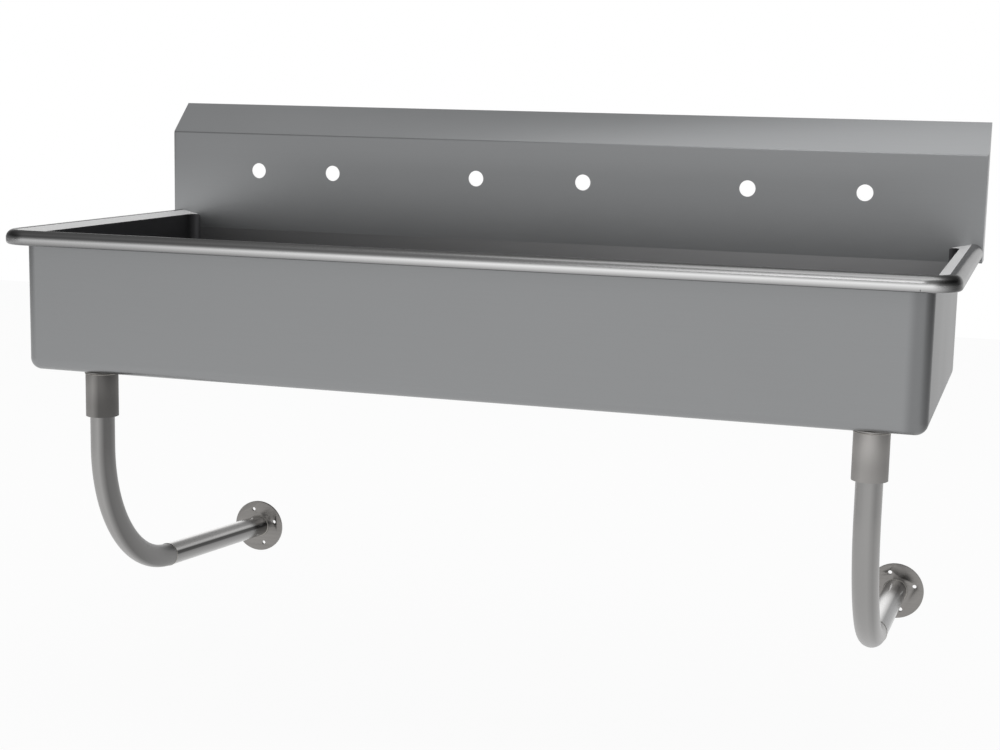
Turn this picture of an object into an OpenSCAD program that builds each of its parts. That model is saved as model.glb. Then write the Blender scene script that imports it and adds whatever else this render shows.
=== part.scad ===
// Wall-hung stainless trough sink with three pairs of faucet holes and two bent tube supports.
// X runs along the sink and Y towards the wall, whose face is the plane Y = 0.
// The origin is the middle of the wall cleat's screw line.

/* [Trough] */
// Length over the ends of the rim and the splash
sink_len = 1524; // [1300:1:2000]
// Reach from the splash's face to the outer edge of the front rim
trough_reach = 618; // [500:1:720]
// Drop from the rim's underside to the bottom of the floor
bowl_drop = 208; // [150:1:280]
// Thickness of the stainless sheet
sheet_t = 1.6; // [1.2:0.1:2.4]
// Outer radius of the coved corners and edges of the bowl
cove_r = 19; // [12:0.5:26]

/* [Rim] */
// Width of the rim outside the bowl's walls
rim_w = 36; // [30:0.5:46]
// Height of the rim
rim_h = 22; // [18:0.5:30]
// Outer radius of the rolled edge
roll_r = 14; // [10:0.5:16]
// Width of the hem that is turned in under the rim
hem_w = 10; // [6:0.5:14]

/* [Splash] */
// Distance that the splash's face stands off the wall
standoff = 60; // [48:1:80]
// Height of the upright part of the splash above the rim
splash_flat_h = 152; // [150:1:200]
// Rise of the sloped top of the splash
splash_rise = 55; // [40:1:80]
// Height of the lip that is turned down at the wall
lip_h = 12; // [8:0.5:20]
// Distance that the splash reaches below the rim's underside
foot_drop = 8; // [5:0.5:16]
// Width of the lips of the splash ends that lie on the wall
end_lip_w = 12; // [8:0.5:20]

/* [Faucet holes] */
// Radius of a faucet hole
faucet_r = 14.3; // [12:0.1:16]
// Height of the faucet holes above the rim
faucet_up = 82; // [70:1:84]
// Distance of the left station from the left end of the sink
left_station_in = 256; // [220:1:330]
// Distance of the middle station from the middle of the sink, to the left
middle_station = 43; // [0:1:60]
// Distance of the right station from the right end of the sink
right_station_in = 303; // [220:1:310]
// Spacing of the two holes of the left station
left_centres = 152.4; // [130:0.1:180]
// Spacing of the two holes of the middle and the right station
wide_centres = 203.2; // [180:0.1:230]

/* [Wall hanging] */
// Height of the wall cleat's screw line above the rim
hanger_up = 118; // [115:1:120]
// Thickness of the two cleats
cleat_t = 2.5; // [2:0.1:3]
// Distance of the wall cleat's ends from the ends of the sink
cleat_in = 102; // [40:1:120]
// Distance of the hanger cleat's ends from the ends of the sink
hanger_in = 122; // [40:1:160]
// Reach of the wall cleat's plate below the screw line
cleat_low = 18; // [12:0.5:19]
// Height of the wall cleat's shelf above the screw line
cleat_shelf = 10; // [8:0.5:11]
// Distance of the wall cleat's upstand from the wall
cleat_reach = 14; // [13:0.5:18]
// Height of the upstand above the shelf
cleat_lip = 18.5; // [14:0.5:19]
// Height of the hanger cleat's front leg
hanger_leg = 25; // [18:0.5:28]
// Clearance of the hanger's hook behind the upstand and over the shelf
hook_clear = 1.5; // [0.6:0.1:2]
// Distance of the outer wall screws from the ends of the wall cleat
screw_in = 60; // [20:1:90]
// Number of wall screws
screw_count = 4; // [2:1:4]
// Radius of the wall screw holes
screw_r = 4.5; // [3:0.1:5.5]

/* [Supports] */
// Distance of the left support from the left end of the sink
left_leg_in = 153; // [110:1:200]
// Distance of the right support from the right end of the sink
right_leg_in = 116; // [110:1:200]
// Distance of the upright tubes' axis from the bowl's front
leg_set_back = 40; // [38:1:120]
// Outer radius of the tube
tube_r = 20; // [18:0.5:22]
// Wall of the tube
tube_wall = 2; // [1.5:0.1:3]
// Radius of the tube's bend along its centre line
bend_r = 240; // [120:1:260]
// Drop of the lower tube towards the wall in degrees
run_slope = 5; // [0:0.5:8]
// Depth of the wall flanges' centres below the rim
flange_drop = 630; // [560:1:720]
// Radius of the wall flanges
flange_r = 50; // [46:0.5:60]
// Thickness of the wall flanges
flange_t = 5; // [3:0.5:8]
// Radius of the flange's screw circle
flange_screws_at = 35; // [30:0.5:38]
// Radius of the flange's screw holes
flange_screw_r = 3.5; // [2.5:0.1:4.5]
// Number of screw holes in a flange
flange_screw_count = 4; // [3:1:6]
// Turn of the flange's screw holes in degrees
flange_screw_turn = 18; // [0:1:45]

/* [Leg sockets] */
// Outer radius of the socket
socket_r = 26.75; // [26:0.25:30]
// Length of the socket
socket_len = 74.5; // [50:0.5:90]
// Clearance between the tube and the socket
socket_clear = 0.3; // [0.2:0.1:0.6]
// Gap between the end of the tube and the floor
tube_gap = 13; // [4:1:20]
// Thickness of the socket plate
plate_t = 2.5; // [2:0.5:4]
// Width of the socket plate
plate_w = 96; // [70:1:110]
// Distance of the plate's front edge from the bowl's front
plate_front = 38; // [30:0.5:44]
// Depth of the socket plate from front to back
plate_d = 90; // [60:1:130]
// Gap between the plate and the socket that it fits round
plate_gap = 0.3; // [0.2:0.1:0.6]
// Radius of the socket's set screws
set_r = 4; // [3:0.5:5]
// Length of a set screw
set_len = 6.5; // [6:0.5:12]
// Clearance of a set screw in its hole and over the tube
set_clear = 0.1; // [0.05:0.05:0.3]
// Across-corners radius of the set screw's key socket
key_r = 2.3; // [1.5:0.1:2.6]
// Depth of the set screw's key socket
key_depth = 3.5; // [2:0.5:5]

/* [Drain] */
// Distance of the drain's centre from the splash's face
drain_back = 291; // [200:1:400]
// Outer radius of the drain's throat
throat_r = 44; // [42:0.5:48]
// Wall of the drain body
throat_wall = 2.5; // [2:0.1:3.5]
// Outer radius of the drain's flange
drain_flange_r = 57; // [54:0.5:64]
// Thickness of the drain's flange
drain_flange_t = 2; // [1.5:0.1:3]
// Depth of the drain's cup below the floor
cup_depth = 28; // [26:0.5:34]
// Outer radius of the outlet's thread
outlet_r = 24.13; // [20:0.01:26]
// Wall of the outlet
outlet_wall = 3.5; // [2.5:0.1:5]
// Length of the outlet below the cup
outlet_len = 17; // [12:0.5:30]
// Clearance of the floor hole around the throat
hole_clear = 1; // [0.5:0.1:2]
// Thickness of the seal between the flange and the floor
seal_t = 1.5; // [1:0.1:3]
// Thickness of the gasket under the floor
gasket_t = 3; // [2:0.1:4]
// Thickness of the friction washer
washer_t = 1; // [0.5:0.1:2]
// Height of the locknut
nut_h = 8; // [6:0.5:12]
// Outer radius of the locknut
nut_r = 56; // [52:0.5:62]
// Clearance of the rings around the throat
ring_clear = 0.3; // [0.2:0.1:0.6]
// Number of spanner slots in the locknut
nut_slots = 8; // [4:1:12]
// Width of a spanner slot
slot_w = 9; // [6:0.5:14]
// Depth of a spanner slot
slot_d = 4; // [2:0.5:6]

/* [Strainer basket] */
// Sheet thickness of the basket
basket_t = 1; // [0.8:0.1:1.4]
// Clearance of the basket's rim in the throat
basket_clear = 0.8; // [0.5:0.1:1.5]
// Width of the basket's flared rim
basket_rim_w = 3; // [2:0.1:4]
// Distance of the basket's rim below the top of the drain's flange
basket_sunk = 1.2; // [0.6:0.1:2]
// Thickness of the rubber stopper
stopper_t = 4; // [3:0.5:6]
// Radius of the rubber stopper
stopper_r = 24.5; // [23:0.5:26]
// Gap of the stopper over the drain's seat
stopper_gap = 0.3; // [0.2:0.1:0.5]
// Radius of the basket's post
post_r = 3; // [2.5:0.1:4]
// Clearance of the post in the basket and the stopper
post_clear = 0.2; // [0.1:0.1:0.3]
// Radius of the post's shoulder
shoulder_r = 6; // [5:0.5:7]
// Height of the post's shoulder
shoulder_h = 3; // [2:0.5:4]
// Radius of the knob on the post
knob_r = 8.5; // [7:0.5:10]
// Height of the knob
knob_h = 6; // [4:0.5:8]
// Length of the post between the shoulder and the knob
post_len = 8; // [6:0.5:10]
// Radius of the nut under the stopper
post_nut_r = 7; // [6:0.5:9]
// Height of the nut under the stopper
post_nut_h = 3; // [2:0.5:4]
// Radius of a strainer hole
strain_r = 2; // [1.5:0.1:2.2]
// Number of holes in the outer ring of the basket's floor
strain_count = 24; // [12:2:26]
// Gap between the two rings of strainer holes
strain_gap = 5.5; // [5:0.1:6]

/* [Hidden] */
$fn = 64;

// Overrun of every cut past the faces that it opens
overrun = 4;
// Share of the cove's radius that the rim's tip keeps clear of the cove's tangent point
tip_share = 0.17;
// Share of the socket's length at which the set screws sit
set_height_share = 0.5;
// Turn of the two set screws from the straight back in degrees
set_turn = 40;

// Places along X
half_len = sink_len / 2;
bowl_half = half_len - rim_w;
cove_x = bowl_half - cove_r;
left_leg = half_len - left_leg_in;
right_leg = half_len - right_leg_in;
cleat_half = half_len - cleat_in;
hanger_half = half_len - hanger_in;
screw_pitch = 2 * (cleat_half - screw_in) / (screw_count - 1);

// Places along Y
splash_y = -standoff;
rim_front = splash_y - trough_reach;
bowl_front = rim_front + rim_w;
bowl_back = splash_y + sheet_t;
cove_in = cove_r - sheet_t;
drain_y = splash_y - drain_back;
leg_y = bowl_front + leg_set_back;

// Places along Z
rim_top = -hanger_up;
land_low = rim_top - sheet_t;
rim_low = rim_top - rim_h;
floor_low = rim_low - bowl_drop;
floor_top = floor_low + sheet_t;
foot_z = rim_low - foot_drop;
bend_z = rim_top + splash_flat_h;
splash_top = bend_z + splash_rise;
flange_z = rim_top - flange_drop;

// Slope of the splash's top and the inside corners of its folds
slope_angle = atan(splash_rise / standoff);
fold_z = bend_z - sheet_t * (1 - sin(slope_angle)) / cos(slope_angle);
lip_fold_z = bend_z - sheet_t * cos(slope_angle)
    + (standoff - sheet_t * (1 + sin(slope_angle))) * tan(slope_angle);

// Draws a flat section, given as Y and Z, along X
module along_x(from_x, length) {
    translate([from_x, 0, 0]) rotate([90, 0, 90]) linear_extrude(length) children();
}

// Draws a flat section, given as X and Z, along Y
module along_y(from_y, length) {
    translate([0, from_y + length, 0]) rotate([90, 0, 0]) linear_extrude(length) children();
}

// Section of the bowl's block with its two coved lower edges, set in from the outer faces
module bowl_section(set_in, top) {
    r = cove_r - set_in;
    low = floor_low + set_in;
    front = bowl_front + set_in;
    back = bowl_back - set_in;
    translate([front + r, low]) square([back - front - 2 * r, top - low]);
    translate([front, low + r]) square([back - front, top - low - r]);
    translate([front + r, low + r]) circle(r);
    translate([back - r, low + r]) circle(r);
}

// One sheet folded up at the front and the back, with the drain's hole in its floor
module trough_wrap() {
    color([0.55, 0.555, 0.56]) difference() {
        along_x(-cove_x, 2 * cove_x) difference() {
            bowl_section(0, land_low);
            bowl_section(sheet_t, land_low + overrun);
            translate([splash_y - sheet_t, foot_z])
                square([2 * sheet_t + overrun, land_low - foot_z + overrun]);
        }
        translate([0, drain_y, floor_low - overrun])
            cylinder(r = throat_r + hole_clear, h = sheet_t + 2 * overrun);
    }
}

// Block of the bowl's right end, with coved edges and ball corners
module end_block(set_in, top) {
    r = cove_r - set_in;
    low = floor_low + cove_r;
    front = bowl_front + cove_r;
    back = bowl_back - cove_r;
    translate([cove_x - cove_r, front, low]) cube([cove_r + r, back - front, top - low]);
    for (y = [front, back]) {
        translate([cove_x, y, low]) cylinder(r = r, h = top - low);
        translate([cove_x, y, low]) sphere(r);
    }
    translate([cove_x, front, low]) rotate([-90, 0, 0]) cylinder(r = r, h = back - front);
}

// Pressed end of the bowl
module end_wall() {
    color([0.53, 0.535, 0.54]) intersection() {
        difference() {
            end_block(0, land_low);
            end_block(sheet_t, land_low + overrun);
        }
        translate([cove_x, bowl_front - overrun, floor_low - overrun]) cube([
            cove_r + overrun,
            bowl_back - bowl_front + 2 * overrun,
            land_low - floor_low + 2 * overrun
        ]);
    }
}

// Section of the rolled rim, with X measured outwards from the bowl's outer face
module rim_section() {
    translate([-sheet_t, land_low]) square([sheet_t + rim_w - roll_r, sheet_t]);
    translate([rim_w - roll_r, rim_top - roll_r]) intersection() {
        difference() {
            circle(roll_r);
            circle(roll_r - sheet_t);
        }
        square(roll_r + overrun);
    }
    translate([rim_w - sheet_t, rim_low]) square([sheet_t, rim_h - roll_r]);
    translate([rim_w - hem_w, rim_low]) square([hem_w, sheet_t]);
}

module front_rim() {
    color([0.75, 0.755, 0.76]) translate([0, bowl_front, 0]) mirror([0, 1, 0])
        along_x(-cove_x, 2 * cove_x) rim_section();
}

// Rounded corner of the rim, round the axis of the bowl's own corner
module rim_corner() {
    color([0.72, 0.725, 0.73]) translate([cove_x, bowl_front + cove_r, 0]) rotate([0, 0, -90])
        rotate_extrude(angle = 90) translate([cove_r, 0]) rim_section();
}

// Side of the rim, with the flat tip that fills in behind the bowl's back corner
module side_rim() {
    tip_x = cove_x + tip_share * cove_r;
    color([0.75, 0.755, 0.76]) union() {
        translate([bowl_half, 0, 0])
            along_y(bowl_front + cove_r, splash_y - bowl_front - cove_r) rim_section();
        translate([0, 0, land_low]) linear_extrude(sheet_t) difference() {
            translate([tip_x, splash_y - cove_in]) square([bowl_half - tip_x, cove_in]);
            translate([cove_x, splash_y - cove_in]) circle(cove_in);
        }
    }
}

// Upright sheet with its sloped top, its lip on the wall and its faucet holes
module backsplash() {
    stations = [
        [left_station_in - half_len, left_centres],
        [-middle_station, wide_centres],
        [half_len - right_station_in, wide_centres]
    ];
    color([0.5, 0.505, 0.51]) difference() {
        along_x(-half_len, sink_len) polygon([
            [splash_y, foot_z], [splash_y, bend_z], [0, splash_top], [0, splash_top - lip_h],
            [-sheet_t, splash_top - lip_h], [-sheet_t, lip_fold_z],
            [splash_y + sheet_t, fold_z], [splash_y + sheet_t, foot_z]
        ]);
        for (side = [0, 1]) mirror([side, 0, 0])
            translate([cove_x, splash_y - overrun, foot_z - overrun])
                cube([cove_r, sheet_t + 2 * overrun, land_low - foot_z + overrun]);
        for (station = stations, half = [-0.5, 0.5])
            translate([station[0] + half * station[1], splash_y - overrun, rim_top + faucet_up])
                rotate([-90, 0, 0]) cylinder(r = faucet_r, h = sheet_t + 2 * overrun);
    }
}

// Plate that closes the splash's end, with its lip on the wall
module splash_end() {
    color([0.6, 0.605, 0.61]) union() {
        along_x(half_len - sheet_t, sheet_t) polygon([
            [splash_y + sheet_t, foot_z], [splash_y + sheet_t, fold_z],
            [-sheet_t, lip_fold_z], [-sheet_t, foot_z]
        ]);
        translate([half_len - end_lip_w, -sheet_t, foot_z])
            cube([end_lip_w, sheet_t, splash_top - lip_h - foot_z]);
    }
}

// Hook strip welded to the back of the splash
module hanger_cleat() {
    web_low = cleat_shelf + cleat_lip;
    web_top = web_low + cleat_t;
    hook_y = -cleat_reach + cleat_t + hook_clear;
    color([0.62, 0.62, 0.63]) along_x(-hanger_half, 2 * hanger_half) union() {
        translate([splash_y + sheet_t, web_top - hanger_leg]) square([cleat_t, hanger_leg]);
        translate([splash_y + sheet_t, web_low])
            square([hook_y + cleat_t - splash_y - sheet_t, cleat_t]);
        translate([hook_y, cleat_shelf + hook_clear])
            square([cleat_t, web_top - cleat_shelf - hook_clear]);
    }
}

// Strip screwed to the wall, whose upstand carries the hanger cleat
module wall_cleat() {
    color([0.66, 0.66, 0.67]) difference() {
        along_x(-cleat_half, 2 * cleat_half) union() {
            translate([-cleat_t, -cleat_low]) square([cleat_t, cleat_low + cleat_shelf]);
            translate([-cleat_reach, cleat_shelf - cleat_t]) square([cleat_reach, cleat_t]);
            translate([-cleat_reach, cleat_shelf - cleat_t]) square([cleat_t, cleat_lip + cleat_t]);
        }
        for (i = [0 : screw_count - 1])
            translate([(i - (screw_count - 1) / 2) * screw_pitch, -cleat_t - overrun, 0])
                rotate([-90, 0, 0]) cylinder(r = screw_r, h = cleat_t + 2 * overrun);
    }
}

// Stiffening plate welded under the floor, open at the front where it fits round the socket
module socket_plate(x) {
    color([0.58, 0.58, 0.57]) difference() {
        translate([x - plate_w / 2, bowl_front + plate_front, floor_low - plate_t])
            cube([plate_w, plate_d, plate_t]);
        translate([x, leg_y, floor_low - plate_t - overrun])
            cylinder(r = socket_r + plate_gap, h = plate_t + 2 * overrun);
    }
}

// Radial place of a set screw, pointing outwards through the back of the socket
module at_set_screw(x, side) {
    translate([x, leg_y, floor_low - set_height_share * socket_len])
        rotate([0, 0, 90 + side * set_turn]) rotate([0, 90, 0]) children();
}

// Sleeve that takes the top of the tube
module leg_socket(x) {
    bore_r = tube_r + socket_clear;
    color([0.56, 0.55, 0.54]) difference() {
        translate([x, leg_y, floor_low - socket_len]) difference() {
            cylinder(r = socket_r, h = socket_len);
            translate([0, 0, -overrun]) cylinder(r = bore_r, h = socket_len + 2 * overrun);
        }
        for (side = [-1, 1]) at_set_screw(x, side)
            cylinder(r = set_r + set_clear, h = socket_r + overrun);
    }
}

// Two hexagon-socket set screws
module set_screws(x) {
    color([0.35, 0.35, 0.36]) for (side = [-1, 1])
        at_set_screw(x, side) translate([0, 0, tube_r + set_clear]) difference() {
            cylinder(r = set_r, h = set_len);
            translate([0, 0, set_len - key_depth]) cylinder(r = key_r, h = key_depth + overrun, $fn = 6);
        }
}

// Straight length of tube along Z
module straight_tube(length) {
    difference() {
        cylinder(r = tube_r, h = length);
        translate([0, 0, -overrun]) cylinder(r = tube_r - tube_wall, h = length + 2 * overrun);
    }
}

turn = 90 - run_slope;
arc_y = leg_y + bend_r;
arc_z = flange_z - tan(run_slope) * leg_y + bend_r * tan(turn / 2);

// Frame of a support's bend: its own X points to the front and its own Y points down
module at_bend(x) {
    translate([x, arc_y, arc_z]) rotate([90, 0, 90]) rotate([0, 0, 180]) children();
}

// Upright of the support, from the socket down and round the bend to the straight run
module leg_tube(x) {
    color([0.6, 0.59, 0.58]) at_bend(x) union() {
        translate([bend_r, 0, 0]) rotate([90, 0, 0]) straight_tube(floor_low - tube_gap - arc_z);
        rotate_extrude(angle = turn) translate([bend_r, 0]) difference() {
            circle(tube_r);
            circle(tube_r - tube_wall);
        }
    }
}

// Straight run of the support, butt-welded to the bend and cut to the face of the wall flange
module leg_run(x) {
    run_len = (bend_r * cos(turn) - arc_y) / cos(run_slope);
    color([0.68, 0.67, 0.66]) difference() {
        at_bend(x) rotate([0, 0, turn]) translate([bend_r, 0, 0]) rotate([-90, 0, 0])
            straight_tube(run_len + overrun);
        translate([x - 2 * tube_r, -flange_t, flange_z - 2 * tube_r])
            cube([4 * tube_r, flange_t + 2 * tube_r, 4 * tube_r]);
    }
}

// Round plate welded to the end of the tube and screwed to the wall
module wall_flange(x) {
    color([0.66, 0.65, 0.64]) translate([x, 0, flange_z]) rotate([90, 0, 0]) difference() {
        cylinder(r = flange_r, h = flange_t);
        for (i = [0 : flange_screw_count - 1])
            rotate([0, 0, flange_screw_turn + i * 360 / flange_screw_count])
                translate([flange_screws_at, 0, -overrun])
                    cylinder(r = flange_screw_r, h = flange_t + 2 * overrun);
    }
}

// Ring round the drain's axis, given by its radii and its Z limits
module drain_ring(inner_r, outer_r, low, high) {
    translate([0, drain_y, low]) difference() {
        cylinder(r = outer_r, h = high - low);
        translate([0, 0, -overrun]) cylinder(r = inner_r, h = high - low + 2 * overrun);
    }
}

drain_rest = floor_top + seal_t;
drain_flange_top = drain_rest + drain_flange_t;
seat_z = floor_top - cup_depth;
cup_low = seat_z - throat_wall;
bore_r = throat_r - throat_wall;
ring_r = throat_r + ring_clear;
gasket_low = floor_low - gasket_t;
washer_low = gasket_low - washer_t;

// Flanged cup with a threaded outlet
module drain_body() {
    color([0.72, 0.72, 0.73]) union() {
        drain_ring(bore_r, drain_flange_r, drain_rest, drain_flange_top);
        drain_ring(bore_r, throat_r, cup_low, drain_flange_top);
        drain_ring(outlet_r - outlet_wall, throat_r, cup_low, seat_z);
        drain_ring(outlet_r - outlet_wall, outlet_r, cup_low - outlet_len, seat_z);
    }
}

module drain_seal() {
    color([0.12, 0.12, 0.12])
        drain_ring(throat_r + hole_clear, drain_flange_r - ring_clear, floor_top, drain_rest);
}

module drain_gasket() {
    color([0.12, 0.12, 0.12]) drain_ring(ring_r, drain_flange_r, gasket_low, floor_low);
}

module drain_washer() {
    color([0.75, 0.68, 0.55]) drain_ring(ring_r, nut_r, washer_low, gasket_low);
}

module drain_locknut() {
    color([0.62, 0.6, 0.5]) difference() {
        drain_ring(ring_r, nut_r, washer_low - nut_h, washer_low);
        for (i = [0 : nut_slots - 1])
            translate([0, drain_y, washer_low - nut_h - overrun]) rotate([0, 0, i * 360 / nut_slots])
                translate([nut_r - slot_d, -slot_w / 2, 0])
                    cube([slot_d + overrun, slot_w, nut_h + 2 * overrun]);
    }
}

stopper_low = seat_z + stopper_gap;
basket_low = stopper_low + stopper_t;
basket_floor = basket_low + basket_t;
basket_top = drain_flange_top - basket_sunk;
basket_rim_r = bore_r - basket_clear;
basket_r = basket_rim_r - basket_rim_w;
shoulder_top = basket_floor + shoulder_h;
knob_low = shoulder_top + post_len;

// Perforated cup that lifts out of the drain
module strainer_basket() {
    ring_at = basket_r - basket_t - 2 * strain_r;
    color([0.78, 0.78, 0.79]) difference() {
        union() {
            drain_ring(basket_r - basket_t, basket_r, basket_low, basket_top);
            drain_ring(basket_r - basket_t, basket_rim_r, basket_top - basket_t, basket_top);
            drain_ring(post_r + post_clear, basket_r, basket_low, basket_floor);
        }
        for (ring = [0, 1], i = [0 : strain_count - 1])
            translate([0, drain_y, basket_low - overrun])
                rotate([0, 0, (i + ring / 2) * 360 / strain_count])
                    translate([ring_at - ring * strain_gap, 0, 0])
                        cylinder(r = strain_r, h = basket_t + 2 * overrun);
    }
}

// Post with a shoulder on the basket's floor and a knob to lift it by
module basket_post() {
    color([0.8, 0.8, 0.81]) translate([0, drain_y, 0]) union() {
        translate([0, 0, stopper_low - post_nut_h])
            cylinder(r = post_r, h = knob_low - stopper_low + post_nut_h);
        translate([0, 0, basket_floor]) cylinder(r = shoulder_r, h = shoulder_h);
        translate([0, 0, knob_low]) cylinder(r = knob_r, h = knob_h);
    }
}

module basket_stopper() {
    color([0.13, 0.13, 0.13]) drain_ring(post_r + post_clear, stopper_r, stopper_low, basket_low);
}

module basket_nut() {
    color([0.7, 0.7, 0.71]) translate([0, drain_y, stopper_low - post_nut_h]) difference() {
        cylinder(r = post_nut_r, h = post_nut_h, $fn = 6);
        translate([0, 0, -overrun]) cylinder(r = post_r + post_clear, h = post_nut_h + 2 * overrun);
    }
}

trough_wrap();
mirror([1, 0, 0]) end_wall();  // left_end_wall
end_wall();  // right_end_wall
front_rim();
mirror([1, 0, 0]) rim_corner();  // left_rim_corner
rim_corner();  // right_rim_corner
mirror([1, 0, 0]) side_rim();  // left_rim
side_rim();  // right_rim
backsplash();
mirror([1, 0, 0]) splash_end();  // left_splash_end
splash_end();  // right_splash_end
hanger_cleat();
wall_cleat();
socket_plate(-left_leg);  // left_socket_plate
socket_plate(right_leg);  // right_socket_plate
leg_socket(-left_leg);  // left_leg_socket
leg_socket(right_leg);  // right_leg_socket
set_screws(-left_leg);  // left_set_screws
set_screws(right_leg);  // right_set_screws
leg_tube(-left_leg);  // left_leg_tube
leg_tube(right_leg);  // right_leg_tube
leg_run(-left_leg);  // left_leg_run
leg_run(right_leg);  // right_leg_run
wall_flange(-left_leg);  // left_wall_flange
wall_flange(right_leg);  // right_wall_flange
drain_body();
drain_seal();
drain_gasket();
drain_washer();
drain_locknut();
strainer_basket();
basket_post();
basket_stopper();
basket_nut();
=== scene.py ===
# %% [markdown]
# # A wall-hung stainless trough sink
#
# The CAD model gives every sheet, tube and ring its true shape and place. This lesson dresses it for
# a picture: rounded sheet folds, weld beads, threads, brushed and polished steel, and the light and
# camera of a product photograph. All lengths are in metres, with the origin on the wall, in the
# middle of the wall cleat's screw line: X runs along the sink, Y into the wall and Z up.

# %% Load the model
from math import atan2, cos, hypot, pi, radians, sin, tan

import bmesh
import bpy
from mathutils import Matrix, Vector


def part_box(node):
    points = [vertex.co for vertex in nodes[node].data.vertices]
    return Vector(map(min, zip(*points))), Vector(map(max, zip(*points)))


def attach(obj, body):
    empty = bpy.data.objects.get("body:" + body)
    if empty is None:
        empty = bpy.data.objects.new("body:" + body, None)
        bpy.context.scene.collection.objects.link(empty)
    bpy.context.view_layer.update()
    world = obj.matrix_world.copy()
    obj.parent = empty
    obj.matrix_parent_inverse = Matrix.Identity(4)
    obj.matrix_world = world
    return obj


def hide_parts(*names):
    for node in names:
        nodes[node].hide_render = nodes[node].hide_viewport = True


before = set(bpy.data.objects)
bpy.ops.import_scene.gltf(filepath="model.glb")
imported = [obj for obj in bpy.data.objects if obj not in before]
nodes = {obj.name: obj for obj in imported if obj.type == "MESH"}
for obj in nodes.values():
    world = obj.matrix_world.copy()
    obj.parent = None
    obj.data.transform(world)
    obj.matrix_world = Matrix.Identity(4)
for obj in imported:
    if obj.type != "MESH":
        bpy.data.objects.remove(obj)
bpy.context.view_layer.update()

# %% [markdown]
# ## Camera
#
# A product photographer stands to the right of the middle and a little above the rim, so that the
# bowl's dark inside, the long front and both supports show at once. A camera can be placed by
# aiming a constraint at the sink, or by giving its place and three turns. The second way is used
# here, because the turns (17.6 degrees to the left, 9 degrees down and a slight roll) are known.

# %% Camera
camera_data = bpy.data.cameras.new("photo_camera")
camera_data.sensor_width = 36.0
camera_data.lens = 1757.7 / 1000 * 36.0
camera_data.clip_end = 50.0
camera = bpy.data.objects.new("photo_camera", camera_data)
bpy.context.scene.collection.objects.link(camera)
yaw, pitch, roll = radians(17.56), radians(-9.007), radians(-1.241)
turn = Matrix.Rotation(yaw, 3, "Z") @ Matrix.Rotation(pitch, 3, "X") @ Matrix.Rotation(roll, 3, "Y")
right, forward, up = turn.col[0], turn.col[1], turn.col[2]
camera.matrix_world = Matrix((
    (right.x, up.x, -forward.x, 0.8848),
    (right.y, up.y, -forward.y, -3.1401),
    (right.z, up.z, -forward.z, 0.1143),
    (0, 0, 0, 1)))
bpy.context.scene.camera = camera
print("lens", round(camera_data.lens, 2), "mm, camera at", [round(v, 3) for v in camera.location])

# %% [markdown]
# ## World, floor and lamps
#
# Steel has hardly any colour of its own: it shows what stands around it. A photographer of steel
# works in a white room and darkens its ceiling and its sides, because a tube that saw white all round
# would look flat. Dark cards could be hung in the scene, but they would stand in the way of the other
# views, so the world itself does it: the camera sees plain white, and mirror-like rays see the same
# white in front, behind and below, and grey at the sides and overhead.

# %% A small helper for sums in node trees
def maths(tree, operation, first, second=None, third=None):
    """One Math node; each input is a socket or a number."""
    node = tree.nodes.new("ShaderNodeMath")
    node.operation = operation
    for slot, value in enumerate((first, second, third)):
        if value is None:
            continue
        if isinstance(value, (int, float)):
            node.inputs[slot].default_value = value
        else:
            tree.links.new(value, node.inputs[slot])
    return node.outputs[0]


def ramp(tree, value, low, high, at_low, at_high):
    """Goes smoothly from at_low to at_high while the value goes from low to high."""
    node = tree.nodes.new("ShaderNodeMapRange")
    node.interpolation_type = "SMOOTHSTEP"
    tree.links.new(value, node.inputs["Value"])
    node.inputs["From Min"].default_value = low
    node.inputs["From Max"].default_value = high
    node.inputs["To Min"].default_value = at_low
    node.inputs["To Max"].default_value = at_high
    return node.outputs["Result"]


# %% World
scene = bpy.context.scene
scene.view_settings.view_transform = "Standard"
world = bpy.data.worlds.new("white_room")
scene.world = world
world.use_nodes = True
tree = world.node_tree
tree.nodes.clear()
path = tree.nodes.new("ShaderNodeLightPath")
direction = tree.nodes.new("ShaderNodeTexCoord")
parts = tree.nodes.new("ShaderNodeSeparateXYZ")
tree.links.new(direction.outputs["Generated"], parts.inputs["Vector"])
ceiling = ramp(tree, parts.outputs["Z"], 0.14, 0.34, 1.0, 0.4)
sides = ramp(tree, maths(tree, "ABSOLUTE", parts.outputs["X"]), 0.45, 0.85, 1.0, 0.2)
behind = maths(tree, "MULTIPLY", ramp(tree, parts.outputs["Y"], 0.2, 0.8, 0.0, 0.55),
               ramp(tree, parts.outputs["Z"], 0.25, 0.4, 0.0, 1.0))
behind = maths(tree, "SUBTRACT", 1.0, behind)
room = tree.nodes.new("ShaderNodeBackground")
level = maths(tree, "MULTIPLY", maths(tree, "MULTIPLY", ceiling, sides), behind)
tree.links.new(level, room.inputs["Strength"])
white = tree.nodes.new("ShaderNodeBackground")
white.inputs["Strength"].default_value = 1.0
white.inputs["Color"].default_value = (1, 1, 1, 1)
room.inputs["Color"].default_value = (1, 1, 1, 1)
fill = tree.nodes.new("ShaderNodeBackground")
fill.inputs["Color"].default_value = (1, 1, 1, 1)
fill.inputs["Strength"].default_value = 0.7
mirrored = maths(tree, "MAXIMUM", path.outputs["Is Glossy Ray"], path.outputs["Is Transmission Ray"])
near = tree.nodes.new("ShaderNodeMixShader")
tree.links.new(mirrored, near.inputs["Fac"])
tree.links.new(fill.outputs[0], near.inputs[1])
tree.links.new(room.outputs[0], near.inputs[2])
shown = tree.nodes.new("ShaderNodeMixShader")
tree.links.new(path.outputs["Is Camera Ray"], shown.inputs["Fac"])
tree.links.new(near.outputs[0], shown.inputs[1])
tree.links.new(white.outputs[0], shown.inputs[2])
out = tree.nodes.new("ShaderNodeOutputWorld")
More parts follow.
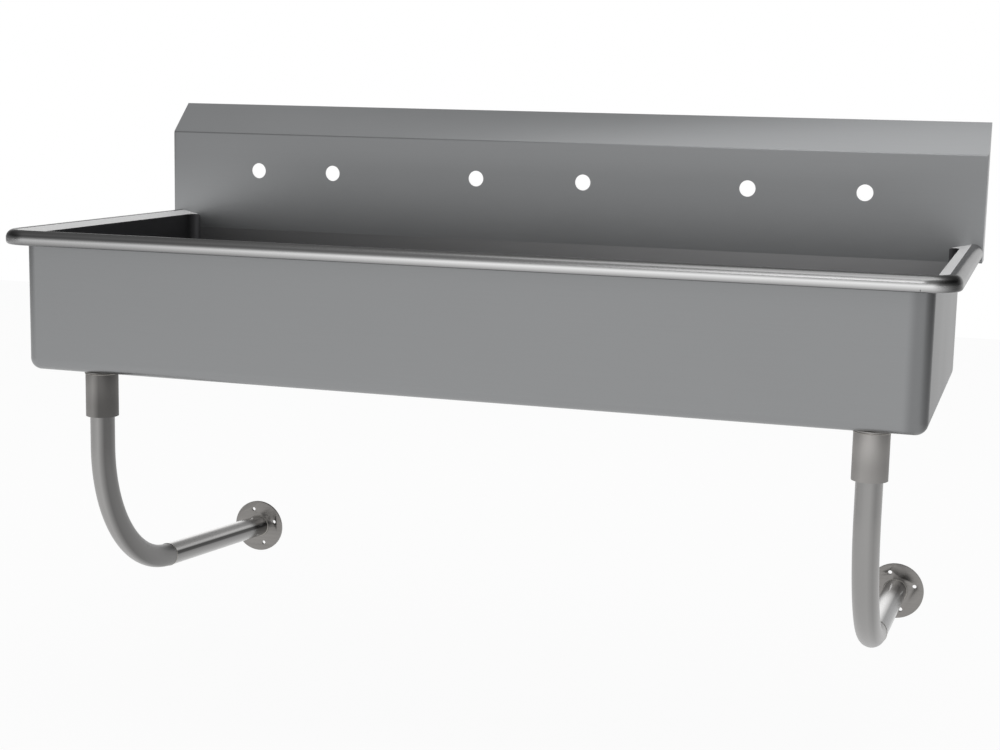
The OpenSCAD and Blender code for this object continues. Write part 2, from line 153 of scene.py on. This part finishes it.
tree.links.new(shown.outputs[0], out.inputs["Surface"])
print("world:", world.name)

# %% Floor
floor_z = -0.98
bpy.ops.mesh.primitive_plane_add(size=14, location=(0, -1.5, floor_z))
floor = bpy.context.object
floor.name = "studio_floor"
paint = bpy.data.materials.new("white_floor")
paint.use_nodes = True
tree = paint.node_tree
tree.nodes.clear()
path = tree.nodes.new("ShaderNodeLightPath")
matte = tree.nodes.new("ShaderNodeBsdfDiffuse")
matte.inputs["Color"].default_value = (0.8, 0.8, 0.8, 1)
glow = tree.nodes.new("ShaderNodeEmission")
glow.inputs["Color"].default_value = (1, 1, 1, 1)
glow.inputs["Strength"].default_value = 1.0
mix = tree.nodes.new("ShaderNodeMixShader")
out = tree.nodes.new("ShaderNodeOutputMaterial")
seen = maths(tree, "MAXIMUM", path.outputs["Is Camera Ray"], path.outputs["Is Glossy Ray"])
tree.links.new(maths(tree, "MULTIPLY", seen, 0.93), mix.inputs["Fac"])
tree.links.new(matte.outputs[0], mix.inputs[1])
tree.links.new(glow.outputs[0], mix.inputs[2])
tree.links.new(mix.outputs[0], out.inputs["Surface"])
floor.data.materials.append(paint)
print("floor at", floor_z)


# %% Lamps
def softbox(name, place, aim, size, brightness):
    """A square lamp that looks from its place at the aim and shines as brightly as stated, all over."""
    data = bpy.data.lights.new(name, "AREA")
    data.size = size
    data.energy = brightness * pi * size * size
    light = bpy.data.objects.new(name, data)
    light.location = place
    light.rotation_euler = (Vector(aim) - Vector(place)).to_track_quat("-Z", "Y").to_euler()
    scene.collection.objects.link(light)
    return light


softbox("front_softbox", (0.3, -3.6, 2.3), (0, -0.3, -0.1), 1.6, 2.6)
softbox("overhead_softbox", (0.7, -0.7, 3.0), (0.2, -0.3, 0), 3.0, 1.1)

# %% [markdown]
# ## Steel
#
# Brushed stainless has fine lines along the direction that it was rubbed in, and polished stainless
# has none but is never quite even. A picture of a brushed sheet could be wrapped round the parts,
# but it would show its seams. Noise that is stretched along one axis gives the same lines on every
# part and at every size, so each steel here is one recipe with other numbers.


# %% One recipe for every steel
line_stretch = 120  # how many times longer than wide a brushed line is


def steel(name, colour, roughness, along="X", line_mm=1.2, line_depth=0.1, cloud=0.06,
          metal=1.0):
    """Metal with lines along one axis, slow clouds in its brightness, and uneven roughness."""
    material = bpy.data.materials.new(name)
    material.use_nodes = True
    tree = material.node_tree
    shader = tree.nodes["Principled BSDF"]
    shader.inputs["Metallic"].default_value = metal
    place = tree.nodes.new("ShaderNodeTexCoord")
    stretch = tree.nodes.new("ShaderNodeMapping")
    fine = 1000.0 / line_mm
    scale = [fine, fine, fine]
    if along:
        scale["XYZ".index(along)] = fine / line_stretch
    stretch.inputs["Scale"].default_value = scale
    lines = tree.nodes.new("ShaderNodeTexNoise")
    lines.inputs["Scale"].default_value = 1.0
    lines.inputs["Detail"].default_value = 3.0
    clouds = tree.nodes.new("ShaderNodeTexNoise")
    clouds.inputs["Scale"].default_value = 5.0
    clouds.inputs["Detail"].default_value = 4.0
    tree.links.new(place.outputs["Object"], stretch.inputs["Vector"])
    tree.links.new(stretch.outputs["Vector"], lines.inputs["Vector"])
    tree.links.new(place.outputs["Object"], clouds.inputs["Vector"])
    tint = tree.nodes.new("ShaderNodeMix")
    tint.data_type = "RGBA"
    tint.inputs["A"].default_value = [c * (1 - cloud) for c in colour] + [1]
    tint.inputs["B"].default_value = [min(c * (1 + cloud), 1) for c in colour] + [1]
    both = maths(tree, "MULTIPLY_ADD", lines.outputs["Fac"], 0.5,
                 maths(tree, "MULTIPLY", clouds.outputs["Fac"], 0.5))
    tree.links.new(both, tint.inputs["Factor"])
    tree.links.new(tint.outputs["Result"], shader.inputs["Base Color"])
    gloss = tree.nodes.new("ShaderNodeMapRange")
    gloss.inputs["To Min"].default_value = roughness * 0.85
    gloss.inputs["To Max"].default_value = roughness * 1.15
    tree.links.new(both, gloss.inputs["Value"])
    tree.links.new(gloss.outputs["Result"], shader.inputs["Roughness"])
    bump = tree.nodes.new("ShaderNodeBump")
    bump.inputs["Strength"].default_value = line_depth
    bump.inputs["Distance"].default_value = 0.0002
    tree.links.new(lines.outputs["Fac"], bump.inputs["Height"])
    tree.links.new(bump.outputs["Normal"], shader.inputs["Normal"])
    return material


bowl_steel = steel("bowl_steel", (0.3, 0.305, 0.31), 0.34)
# Painted light: the inside's lighter colour keeps it from coming out too dark in its own shade.
inside_painted_light = steel("inside_painted_light", (0.42, 0.42, 0.425), 0.42)
# Painted shade: a near-black colour for the insides of the pressed ends.
inside_end_painted_shade = steel("inside_end_painted_shade", (0.11, 0.11, 0.115), 0.42, along="Y")
splash_steel = steel("splash_steel", (0.27, 0.275, 0.28), 0.34)
# Painted highlight: the land's near-white colour stands for the white of the room that its slope reflects.
land_painted_highlight = steel("land_painted_highlight", (0.92, 0.92, 0.92), 0.36, line_depth=0.04, metal=0.35)
strip_steel = steel("strip_steel", (0.4, 0.4, 0.41), 0.35)
flange_steel = steel("flange_steel", (0.27, 0.26, 0.25), 0.3, along="X", line_mm=3.0, cloud=0.3)
weld_steel = steel("weld_steel", (0.4, 0.385, 0.36), 0.38, along=None, line_mm=3.0, cloud=0.15)
drain_steel = steel("drain_steel", (0.6, 0.6, 0.61), 0.2, along=None, line_depth=0.03)
nut_brass = steel("nut_brass", (0.6, 0.44, 0.2), 0.38, along=None, line_mm=0.8, line_depth=0.3)
black_oxide = steel("black_oxide", (0.06, 0.06, 0.065), 0.4, along=None, line_mm=0.5)
print("steels:", [m.name for m in bpy.data.materials])

# %% [markdown]
# ## Painted reflections: grey levels that depend on the place
#
# A mirror-like sheet is never one even grey, since it shows another part of the room at each place.
# The room itself could be painted in more detail, but then every other piece would show it too. Three
# small helpers paint these reflections into the colour of one finish by place instead: one gives a
# point's coordinates, one turns a coordinate into bands, and one multiplies a finish's colour by the
# result.


# %% Painted bands and slow falls on a steel
def position(tree):
    """The three object coordinates of a point, in metres."""
    place = tree.nodes.new("ShaderNodeTexCoord")
    parts = tree.nodes.new("ShaderNodeSeparateXYZ")
    tree.links.new(place.outputs["Object"], parts.inputs["Vector"])
    return parts.outputs


def bands(tree, value, low, high, stops):
    """Grey levels at stated shares of the way from low to high."""
    share = tree.nodes.new("ShaderNodeMapRange")
    share.inputs["From Min"].default_value = low
    share.inputs["From Max"].default_value = high
    tree.links.new(value, share.inputs["Value"])
    levels = tree.nodes.new("ShaderNodeValToRGB")
    ends = levels.color_ramp.elements
    for number, (where, level) in enumerate([stops[0], stops[-1]] + stops[1:-1]):
        stop = ends[number] if number < 2 else ends.new(where)
        stop.position = where
        stop.color = (level, level, level, 1)
    tree.links.new(share.outputs["Result"], levels.inputs["Fac"])
    grey = tree.nodes.new("ShaderNodeRGBToBW")
    tree.links.new(levels.outputs["Color"], grey.inputs["Color"])
    return grey.outputs["Val"]


def shaded(material, level):
    """Multiplies the material's colour by a level."""
    tree = material.node_tree
    shader = tree.nodes["Principled BSDF"]
    colour = shader.inputs["Base Color"].links[0].from_socket
    scaled = tree.nodes.new("ShaderNodeVectorMath")
    scaled.operation = "SCALE"
    tree.links.new(colour, scaled.inputs["Vector"])
    tree.links.new(level, scaled.inputs["Scale"])
    tree.links.new(scaled.outputs["Vector"], shader.inputs["Base Color"])
    return material


print("helpers: position, bands, shaded")

# %% [markdown]
# ## The polished rim
#
# A roll of polished steel squeezes the whole room into a few millimetres: dark at the top, a thin
# light line, a broad white band a little below the middle and a fade towards its lower bend. The
# bands could be left to the mirror alone, but at this size they flicker with every grain of noise.
# The recipe therefore paints these reflections into the colour by height on the roll, and lets the
# mirror add the rest. Painted light also brightens the roll from left to right, and painted shade
# darkens it where it turns round the right corner.

# %% Finish of the rim, with painted reflections
rim_low, rim_top = (corner.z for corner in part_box("front_rim"))
rim_lift = 0.002
roll_painted_reflections = [(0.0, 0.2), (0.4, 0.85), (0.66, 0.25), (0.78, 0.35), (0.87, 0.25), (1.0, 0.3)]
rims = {}
for name, along in (("rim_steel", "X"), ("side_rim_painted_reflection", "Y")):
    made = steel(name, (1, 1, 1), 0.26, along=along, line_depth=0.04, cloud=0.03)
    tree = made.node_tree
    where = position(tree)
    # Painted reflections: grey bands by height on the roll.
    level = bands(tree, where["Z"], rim_low, rim_top + rim_lift, roll_painted_reflections)
    # Painted light brightens the roll towards the right; painted shade darkens it round the right corner.
    rise = ramp(tree, where["X"], -0.75, 0.2, 0.62, 1.0)
    fall = ramp(tree, where["X"], 0.722, 0.757, 1.0, 0.12)
    level = maths(tree, "MULTIPLY", level, maths(tree, "MULTIPLY", rise, fall))
    rims[name] = shaded(made, level)
print("rim from", round(rim_low, 4), "to", round(rim_top, 4))

# %% [markdown]
# ## The large sheets
#
# The flat sheets change slowly. Painted shade darkens the bowl's outside round its right corner and
# its inside to the left, and painted light makes the splash lighter near the rim and on its slope,
# most of all to the left. A lamp for each of these would add reflections elsewhere, so smooth ramps
# paint them into the colours.

# %% Painted shade and light on the sheets
splash_rise = 0.055
splash_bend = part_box("backsplash")[1].z - splash_rise
tree = bowl_steel.node_tree
where = position(tree)
# Painted shade: the bowl's outside darkens round its right corner, and more on its end face.
round_corner = ramp(tree, where["X"], 0.688, 0.704, 1.0, 0.72)
end_face = ramp(tree, where["X"], 0.712, 0.726, 1.0, 0.5)
shaded(bowl_steel, maths(tree, "MULTIPLY", round_corner, end_face))
# Painted shade: the inside darkens towards its left end.
tree = inside_painted_light.node_tree
shaded(inside_painted_light, ramp(tree, position(tree)["X"], -0.75, 0.5, 0.5, 1.0))
tree = splash_steel.node_tree
where = position(tree)
# Painted light: the splash is lighter low down near the rim, and on its slope towards the left.
low_down = ramp(tree, where["Z"], -0.13, 0.0, 1.22, 1.0)
on_slope = ramp(tree, where["Z"], splash_bend - 0.0005, splash_bend + 0.001, 0.0, 1.0)
to_left = ramp(tree, where["X"], -0.8, 0.6, 0.8, 0.1)
shaded(splash_steel, maths(tree, "ADD", low_down, maths(tree, "MULTIPLY", on_slope, to_left)))
print("splash bends at", round(splash_bend, 4))

# %% [markdown]
# ## Tubes
#
# A bent tube mirrors the dark side of the room as a band along its side, and a straight polished run
# shows white above, a dark line along its flank and grey below. These reflections are painted into the
# colour as bands that follow the tube, laid across it: over X on the upright, and over the height above
# the sloping axis on the run. Painted light also makes the sleeve lighter towards its top, because its
# top stands in the shade of the bowl and would otherwise come out much darker than its foot. A ramp of
# bands can't hold levels above 1, so the sleeve's bands are halved there and made up for by the level
# that they are multiplied by.

# %% Painted reflection bands across the tubes
tube_radius, sleeve_radius, slope = 0.020, 0.02675, radians(5)
flange_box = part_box("left_wall_flange")
flange_z = (flange_box[0].z + flange_box[1].z) / 2
# Painted reflection bands across each upright and sleeve, from its left side to its right side.
across = {
    "left": [(0.0, 0.9), (0.55, 1.0), (0.8, 0.4), (1.0, 0.5)],
    "right": [(0.0, 0.9), (0.6, 0.95), (0.8, 0.75), (1.0, 0.95)],
}
sleeve_across = {
    "left": [(0.0, 1.0), (0.45, 0.95), (0.65, 0.4), (1.0, 0.45)],
    "right": [(0.0, 1.5), (0.3, 1.9), (0.6, 1.6), (1.0, 1.3)],
}
# Painted grey, dark line and highlight on each run, from below its axis to above it.
run_bands = {
    "left": [(0.0, 0.4), (0.3, 0.3), (0.45, 0.25), (0.53, 0.2), (0.58, 0.04), (0.69, 0.03),
             (0.76, 0.6), (0.81, 1.0), (1.0, 1.0)],
    "right": [(0.0, 0.4), (0.5, 0.3), (0.6, 0.06), (0.91, 0.05), (0.96, 0.5), (1.0, 1.0)],
}
tubes = {}
for side in ("left", "right"):
    centre_x = (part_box(side + "_leg_tube")[0].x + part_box(side + "_leg_tube")[1].x) / 2
    upright = steel(side + "_tube_painted_bands", (0.36, 0.355, 0.35), 0.34, along="Z")
    tree = upright.node_tree
    where = position(tree)
    band = bands(tree, where["X"], centre_x - tube_radius, centre_x + tube_radius, across[side])
    tubes[side + "_leg_tube"] = shaded(upright, band)
    sleeve = steel(side + "_sleeve_painted_bands", (0.36, 0.35, 0.34), 0.55, along="Z")
    tree = sleeve.node_tree
    where = position(tree)
    levels = [(share, level / 2) for share, level in sleeve_across[side]]
    band = bands(tree, where["X"], centre_x - sleeve_radius, centre_x + sleeve_radius, levels)
    top_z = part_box(side + "_leg_socket")[1].z
    under, over = (1.2, 1.7) if side == "right" else (1.7, 2.5)
    # Painted light: the sleeve's colour is lighter towards its top, against the bowl's shade.
    lit = ramp(tree, where["Z"], top_z - 0.06, top_z - 0.015, under, over)
    tubes[side + "_leg_socket"] = shaded(sleeve, maths(tree, "MULTIPLY", band, lit))
    # A near-white colour, so that the painted highlight on top of the run can reach white.
    run = steel(side + "_run_painted_reflection", (0.9, 0.89, 0.88), 0.2, along="Y", line_depth=0.05)
    tree = run.node_tree
    where = position(tree)
    above = maths(tree, "MULTIPLY_ADD", where["Y"], tan(slope), where["Z"])
    band = bands(tree, above, flange_z - tube_radius, flange_z + tube_radius, run_bands[side])
    tubes[side + "_leg_run"] = shaded(run, band)
print("tube finishes:", len(tubes))

# %% [markdown]
# ## Rubber and fibre
#
# The seal, gasket and stopper are moulded rubber and the friction washer is pressed fibre. Neither
# has lines: both have a fine, matt grain, so one small recipe makes them with other colours.


# %% Matt soft materials
def matt(name, dark, light, grain_mm, depth):
    """A rough material with a fine grain between two colours."""
    material = bpy.data.materials.new(name)
    material.use_nodes = True
    tree = material.node_tree
    shader = tree.nodes["Principled BSDF"]
    shader.inputs["Roughness"].default_value = 0.75
    place = tree.nodes.new("ShaderNodeTexCoord")
    grain = tree.nodes.new("ShaderNodeTexNoise")
    grain.inputs["Scale"].default_value = 1000.0 / grain_mm
    grain.inputs["Detail"].default_value = 4.0
    tree.links.new(place.outputs["Object"], grain.inputs["Vector"])
    tint = tree.nodes.new("ShaderNodeMix")
    tint.data_type = "RGBA"
    tint.inputs["A"].default_value = (*dark, 1)
    tint.inputs["B"].default_value = (*light, 1)
    tree.links.new(grain.outputs["Fac"], tint.inputs["Factor"])
    tree.links.new(tint.outputs["Result"], shader.inputs["Base Color"])
    bump = tree.nodes.new("ShaderNodeBump")
    bump.inputs["Strength"].default_value = depth
    bump.inputs["Distance"].default_value = 0.0002
    tree.links.new(grain.outputs["Fac"], bump.inputs["Height"])
    tree.links.new(bump.outputs["Normal"], shader.inputs["Normal"])
    return material


rubber = matt("rubber", (0.02, 0.02, 0.02), (0.05, 0.05, 0.05), 1.0, 0.2)
fibre = matt("fibre", (0.24, 0.17, 0.1), (0.36, 0.27, 0.17), 2.0, 0.4)
print("all finishes:", len(bpy.data.materials))

# %% Put the finishes on the CAD nodes
finishes = {
    bowl_steel: ["trough_wrap", "left_end_wall", "right_end_wall"],
    splash_steel: ["left_splash_end", "right_splash_end"],
    strip_steel: ["hanger_cleat", "wall_cleat", "left_socket_plate", "right_socket_plate"],
    flange_steel: ["left_wall_flange", "right_wall_flange"],
    drain_steel: ["drain_body", "strainer_basket", "basket_post", "basket_nut"],
    nut_brass: ["drain_locknut"],
    black_oxide: ["left_set_screws", "right_set_screws"],
    rubber: ["drain_seal", "drain_gasket", "basket_stopper"],
    fibre: ["drain_washer"],
}
dress = [(name, finish) for finish, names in finishes.items() for name in names]
for name, finish in dress + list(tubes.items()):
    nodes[name].data.materials.clear()
    nodes[name].data.materials.append(finish)
print("dressed:", len(dress) + len(tubes))

# %% [markdown]
# ## Working on a copy of a CAD node
#
# A CAD node comes in as loose triangles with sharp edges, and it isn't changed. Where a real edge is
# rounded or carries two finishes, a copy of the node is joined up, worked on and shown instead.


# %% Copy, join up and smooth
def pick(piece):
    """Makes the piece the active one and the only one selected."""
    bpy.ops.object.select_all(action="DESELECT")
    bpy.context.view_layer.objects.active = piece
    piece.select_set(True)


def worked_copy(node, join=True):
    """A piece with the node's shape, joined up into whole faces if asked, shown in the node's place."""
    piece = bpy.data.objects.new(node + "_worked", nodes[node].data.copy())
    scene.collection.objects.link(piece)
    pick(piece)
    bpy.ops.object.mode_set(mode="EDIT")
    bpy.ops.mesh.select_all(action="SELECT")
    bpy.ops.mesh.remove_doubles(threshold=0.000001)
    if join:
        bpy.ops.mesh.dissolve_limited(angle_limit=radians(1))
    bpy.ops.mesh.select_all(action="DESELECT")
    bpy.ops.object.mode_set(mode="OBJECT")
    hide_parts(node)
    return piece


def smooth(piece, angle=30):
    """Shades the piece smooth, but for edges sharper than the angle."""
    pick(piece)
    bpy.ops.mesh.customdata_custom_splitnormals_clear()
    bpy.ops.object.shade_smooth_by_angle(angle=radians(angle))


def bevel_where(piece, test, width, segments=2):
    """Rounds the edges whose two ends pass the test."""
    pick(piece)
    bpy.ops.object.mode_set(mode="EDIT")
    bpy.ops.mesh.select_mode(type="EDGE")
    bpy.ops.mesh.select_all(action="DESELECT")
    mesh = bmesh.from_edit_mesh(piece.data)
    chosen = 0
    for edge in mesh.edges:
        if test(*(v.co for v in edge.verts)):
            edge.select = True
            chosen += 1
    bmesh.update_edit_mesh(piece.data)
    bpy.ops.mesh.bevel(offset=width, segments=segments, profile=0.5)
    bpy.ops.mesh.select_all(action="DESELECT")
    bpy.ops.object.mode_set(mode="OBJECT")
    return chosen


# %% [markdown]
# ## Rims
#
# The CAD rim has a flat land with a quarter roll. On the real sink the roll stands a little proud and
# the land falls from it to the bowl, so that splashed water runs back in. The sheet's own points are
# moved to that shape: those of the roll are turned on round its axis, and those of the land follow
# the slope that starts where the roll now ends. The lower bend, sharp in the CAD model, is rounded.

# %% Raise the roll and slope the land
corner_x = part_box("front_rim")[1].x
corner_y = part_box("left_rim_corner")[1].y
cove_radius, sheet, roll_r, land_tilt = 0.019, 0.0016, 0.014, radians(20)
bend_radius, hair = 0.005, 0.0001
rim_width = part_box("left_rim_corner")[1].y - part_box("left_rim_corner")[0].y - cove_radius
roll_at, roll_z = rim_width - roll_r, rim_top - roll_r
lifted_z = roll_z + rim_lift
start_at, start_z = roll_at - roll_r * sin(land_tilt), lifted_z + roll_r * cos(land_tilt)
wall_fall = rim_top - sheet - (start_z - (start_at + sheet) * tan(land_tilt) - sheet / cos(land_tilt))


def outward(point):
    """How far a point is outside the bowl's outer face, and the direction in which that grows."""
    across = max(abs(point.x) - corner_x, 0.0)
    ahead = max(corner_y - point.y, 0.0)
    length = hypot(across, ahead) or 1.0
    side = 1.0 if point.x > 0 else -1.0
    return length - cove_radius, Vector((side * across / length, -ahead / length, 0))


def raise_roll(piece):
    """Turns the roll on by the land's tilt and lets the land fall from it to the bowl."""
    for vertex in piece.data.vertices:
        point = vertex.co
        at, way = outward(point)
        if at > roll_at - 0.00001 and point.z > roll_z - 0.00001:
            reach = hypot(at - roll_at, point.z - roll_z)
            angle = atan2(at - roll_at, point.z - roll_z)
            angle = angle * (pi / 2 + land_tilt) / (pi / 2) - land_tilt
            point += way * (roll_at + reach * sin(angle) - at)
            point.z = lifted_z + reach * cos(angle)
        elif point.z > rim_top - sheet - hair:
            depth = (rim_top - point.z) / cos(land_tilt)
            point.z = start_z - (start_at - max(at, -sheet)) * tan(land_tilt) - depth


for node in ("front_rim", "left_rim_corner", "right_rim_corner", "left_rim", "right_rim"):
    curved = "corner" in node
    rim = worked_copy(node, join=not curved)
    for inward in (0.0, sheet):
        def lower_bend(a, b, reach=rim_width - inward, height=rim_low + inward):
            return all(abs(v.z - height) < hair and abs(outward(v)[0] - reach) < 2 * hair
                       for v in (a, b))
        print(node, "bend edges:", bevel_where(rim, lower_bend, bend_radius - inward, 6))
    raise_roll(rim)
    rim.data.update()
    rim.data.materials.clear()
    rim.data.materials.append(rims["side_rim_painted_reflection" if node in ("left_rim", "right_rim") else "rim_steel"])
    rim.data.materials.append(land_painted_highlight)
    # The land faces carry the painted highlight.
    for face in rim.data.polygons:
        on_land = (outward(face.center)[0] < start_at and face.normal.z > 0.5
                   and face.center.z > rim_top - 0.011)
        face.material_index = int(on_land)
    smooth(rim)
    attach(rim, "sink")
    print(node, "land faces:", sum(face.material_index for face in rim.data.polygons))

# %% [markdown]
# ## Bowl
#
# The bowl's sheets end under the land, so their top edges come down with it. The inside is used and
# rubbed every day and has a duller finish than the outside; its lighter colour is painted light, so that
# it doesn't come out too dark in its own shade, and the two pressed ends carry painted shade, a near-black
# colour, where they turn away from the light. The inside faces are told by their normals, which point to
# the bowl's middle.

# %% Bowl sheets with an inside and an outside
inside_middle = Vector((0, (corner_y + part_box("trough_wrap")[1].y) / 2, -0.22))
for node in ("trough_wrap", "left_end_wall", "right_end_wall"):
    sheet_piece = worked_copy(node)
    for vertex in sheet_piece.data.vertices:
        if vertex.co.z > rim_top - sheet - hair:
            vertex.co.z -= wall_fall
    sheet_piece.data.update()
    sheet_piece.data.materials.clear()
    sheet_piece.data.materials.append(bowl_steel)
    # Inside faces get painted light on the wrap and painted shade on the pressed ends.
    sheet_piece.data.materials.append(inside_painted_light if node == "trough_wrap" else inside_end_painted_shade)
    for face in sheet_piece.data.polygons:
        to_middle = inside_middle - face.center
        if node == "trough_wrap":
            to_middle.x = 0.0
        face.material_index = int(face.normal.dot(to_middle) > 0)
    smooth(sheet_piece)
    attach(sheet_piece, "sink")
    print(node, "inside faces:", sum(face.material_index for face in sheet_piece.data.polygons))

# %% [markdown]
# ## Splash
#
# Sheet is folded on a press brake, which leaves a soft bend of a few millimetres that shows as one
# bright line along the splash. A bevel modifier would round every edge, the faucet holes too, so the
# two sides of the bend and the edge of the lip are picked by their place and rounded on a copy of
# the CAD sheet. The notches beside the rim come down with the land, so that no gap opens there.

# %% Splash sheet with soft folds
splash = worked_copy("backsplash")
low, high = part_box("backsplash")


def along_fold(y, z, reach=0.0012):
    """A test for edges that run along X at that place."""
    def test(a, b):
        return (abs(a.x - b.x) > 0.5 and all(
            abs(v.y - y) < reach and abs(v.z - z) < reach for v in (a, b)))
    return test


for vertex in splash.data.vertices:
    in_notch = corner_x - hair < abs(vertex.co.x) < corner_x + cove_radius + hair
    if in_notch and abs(vertex.co.z - (rim_top - sheet)) < hair:
        vertex.co.z -= wall_fall
splash.data.update()
print("outer bend:", bevel_where(splash, along_fold(low.y, splash_bend), 0.0022, 5))
inner_bend = along_fold(low.y + sheet, splash_bend - sheet / 2)
print("inner bend:", bevel_where(splash, inner_bend, 0.0012, 4))
print("lip:", bevel_where(splash, along_fold(0.0, high.z), 0.0014, 4))
splash.data.materials.clear()
splash.data.materials.append(splash_steel)
smooth(splash)
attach(splash, "sink")

# %% [markdown]
# ## Weld beads
#
# Each support is welded three times: sleeve to floor, bend to straight run, and run to wall flange. A
# bead could be a plain ring, but a welder's bead is a row of small overlapping puddles. Each ring is
# a torus whose every third cross-section is fattened, laid on its joint and given its place for good.


# %% Weld beads
ripple_pitch, round_sides = 0.0024, 12


def bead(name, place, tilt, radius, thickness):
    """A rippled ring round an axis that leans forward from Z by the tilt."""
    ripples = int(2 * pi * radius / ripple_pitch)
    bpy.ops.object.select_all(action="DESELECT")
    bpy.ops.mesh.primitive_torus_add(major_radius=radius, minor_radius=thickness,
                                     major_segments=3 * ripples, minor_segments=round_sides)
    ring = bpy.context.object
    ring.name = name
    bpy.ops.object.mode_set(mode="EDIT")
    bpy.ops.mesh.select_all(action="DESELECT")
    mesh = bmesh.from_edit_mesh(ring.data)
    for number, vertex in enumerate(mesh.verts):
        vertex.select = (number // round_sides) % 3 == 0
    mesh.select_flush(True)
    bmesh.update_edit_mesh(ring.data)
    bpy.ops.transform.shrink_fatten(value=-0.22 * thickness)
    bpy.ops.mesh.select_all(action="DESELECT")
    bpy.ops.object.mode_set(mode="OBJECT")
    ring.rotation_euler = (tilt, 0, 0)
    ring.location = place
    bpy.ops.object.transform_apply(location=True, rotation=True, scale=True)
    bpy.ops.object.shade_smooth()
    ring.data.materials.append(weld_steel)
    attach(ring, "sink")


floor_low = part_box("trough_wrap")[0].z
flange_face = flange_box[0].y
tube_bend_radius = 0.24
for side in ("left", "right"):
    socket_low, socket_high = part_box(side + "_leg_socket")
    leg = (socket_low + socket_high) / 2
    bead(side + "_socket_weld", (leg.x, leg.y, floor_low - 0.0029), 0, 0.0270, 0.0009)
    seam_y = leg.y + tube_bend_radius * (1 - sin(slope))
    seam_z = flange_z - tan(slope) * seam_y
    bead(side + "_run_weld", (leg.x, seam_y, seam_z), pi / 2 - slope, 0.0198, 0.0009)
    bead(side + "_flange_weld", (leg.x, flange_face - 0.0006, flange_z - tan(slope) * flange_face),
         pi / 2 - slope, 0.0202, 0.0017)

# %% [markdown]
# ## Outlet thread
#
# The waste pipe screws onto the drain's outlet, so the outlet carries a pipe thread of 11.5 turns to
# the inch. A bump map would fake it from afar, but not at close range. A profile with a flat crest is
# swept round and up by a screw modifier, which is then applied.

# %% Thread on the drain's outlet
drain_low, drain_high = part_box("drain_body")
drain_x, drain_y = (drain_low.x + drain_high.x) / 2, (drain_low.y + drain_high.y) / 2
pitch, crest, root, turns = 0.0254 / 11.5, 0.0249, 0.0240, 5
start = drain_low.z + 0.0012
bpy.ops.object.select_all(action="DESELECT")
bpy.ops.mesh.primitive_plane_add(size=0.002, location=(0, 0, 0))
thread = bpy.context.object
thread.name = "outlet_thread"
bpy.ops.object.mode_set(mode="EDIT")
mesh = bmesh.from_edit_mesh(thread.data)
corners = [(root, 0), (crest, pitch * 0.42), (crest, pitch * 0.56), (root, pitch * 0.98)]
bmesh.ops.delete(mesh, geom=mesh.verts[:], context="VERTS")
points = [mesh.verts.new((across, 0, up)) for across, up in corners]
for first, second in zip(points, points[1:]):
    mesh.edges.new((first, second))
bmesh.update_edit_mesh(thread.data)
bpy.ops.object.mode_set(mode="OBJECT")
sweep = thread.modifiers.new("sweep", "SCREW")
sweep.angle = 2 * pi
sweep.screw_offset = pitch
sweep.iterations = turns
sweep.steps = sweep.render_steps = 72
sweep.use_merge_vertices = True
sweep.merge_threshold = 0.00001
bpy.ops.object.modifier_apply(modifier="sweep")
bpy.ops.object.mode_set(mode="EDIT")
bpy.ops.mesh.select_all(action="SELECT")
bpy.ops.mesh.normals_make_consistent(inside=False)
bpy.ops.mesh.select_all(action="DESELECT")
bpy.ops.object.mode_set(mode="OBJECT")
thread.location = (drain_x, drain_y, start)
bpy.ops.object.transform_apply(location=True, rotation=True, scale=True)
thread.data.materials.append(drain_steel)
smooth(thread)
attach(thread, "sink")
print("thread:", len(thread.data.polygons), "faces")

# %% [markdown]
# ## Small edges
#
# Turned and stamped parts come with their edges broken by a few tenths of a millimetre. Without that
# an edge is a mathematical line that no lamp can catch. The sharp edges are found by the angle between
# their faces, so the same few lines serve flanges, sleeves, screws, cleats and most of the drain.


# %% Break the sharp edges
def break_edges(piece, width, angle=50):
    """Bevels every edge that is sharper than the angle."""
    pick(piece)
    bpy.ops.object.mode_set(mode="EDIT")
    bpy.ops.mesh.select_mode(type="EDGE")
    bpy.ops.mesh.select_all(action="DESELECT")
    bpy.ops.mesh.edges_select_sharp(sharpness=radians(angle))
    bpy.ops.mesh.bevel(offset=width, segments=2, profile=0.5, clamp_overlap=True)
    bpy.ops.mesh.select_all(action="DESELECT")
    bpy.ops.object.mode_set(mode="OBJECT")
    smooth(piece)


broken = {
    0.0006: ["left_wall_flange", "right_wall_flange"],
    0.0005: ["left_leg_socket", "right_leg_socket", "drain_locknut"],
    0.0004: ["left_socket_plate", "right_socket_plate", "basket_stopper", "hanger_cleat", "wall_cleat"],
    0.0003: ["left_set_screws", "right_set_screws", "drain_body", "basket_post", "basket_nut",
             "left_splash_end", "right_splash_end"],
}
for width, names in broken.items():
    for node in names:
        piece = worked_copy(node)
        break_edges(piece, width)
        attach(piece, "basket" if node.startswith("basket") else "sink")
print("edges broken on:", sum(len(names) for names in broken.values()))
